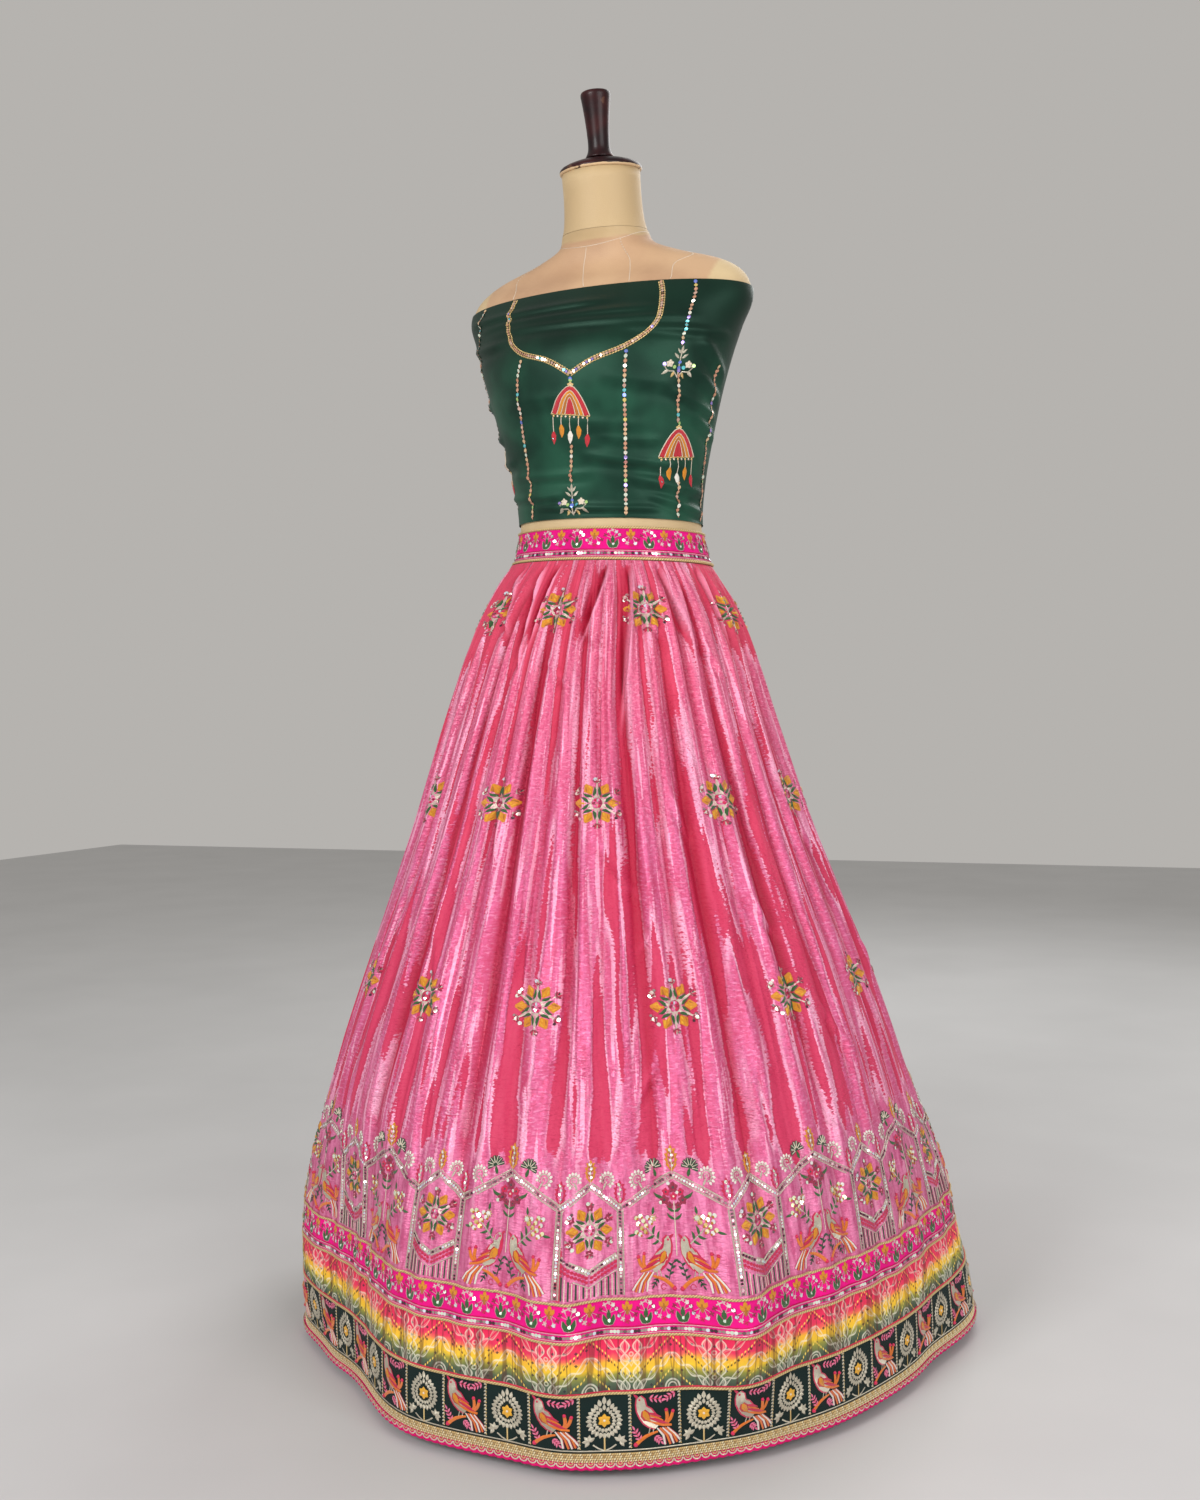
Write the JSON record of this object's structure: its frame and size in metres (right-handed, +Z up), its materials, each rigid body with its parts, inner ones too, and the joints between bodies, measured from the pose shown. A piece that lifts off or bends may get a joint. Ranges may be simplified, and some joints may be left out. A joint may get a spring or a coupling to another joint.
{
  "type": "lehenga with blouse cloth on a dress form",
  "caption": "Floor-length flared lehenga skirt with a waistband and a deep embroidered border, and an unsewn blouse cloth wrapped round a limbless dress form on a round-based stand.",
  "frame": {"origin": "On the floor, at the centre of the stand base's underside, under the pole.", "axes": "+Z up along the pole; the form's front, and the garment's, faces -Y; +X is the wearer's left."},
  "size_m": [0.8882, 0.8756, 1.6264],
  "materials": {
    "pink_tissue": "crushed metallic tissue",
    "ribbon_pink": "embroidered",
    "tie_dye": "printed",
    "dark_green_cloth": "embroidered",
    "gold_lace": "metallic thread lace",
    "pink_piping": "corded",
    "gold_cord": "metallic cord",
    "green_satin": "satin",
    "canvas": "matt canvas",
    "dark_wood": "varnished",
    "steel_tube": "brushed",
    "black_iron": "painted"
  },
  "bodies": {
    "root": {"skirt_panel_front": "pink_tissue", "skirt_panel_left": "pink_tissue", "skirt_panel_right": "pink_tissue", "hem_ribbon": "ribbon_pink", "tie_dye_band": "tie_dye", "green_band": "dark_green_cloth", "hem_lace": "gold_lace", "hem_piping": "pink_piping", "waistband": "ribbon_pink", "waist_piping_bottom": "gold_cord", "waist_piping_top": "gold_cord", "blouse_wrap": "green_satin", "form_body": "canvas", "form_neck": "canvas", "form_cap": "dark_wood", "form_handle": "dark_wood", "stand_base": "black_iron", "stand_pole": "steel_tube"}
  },
  "joints": []
}
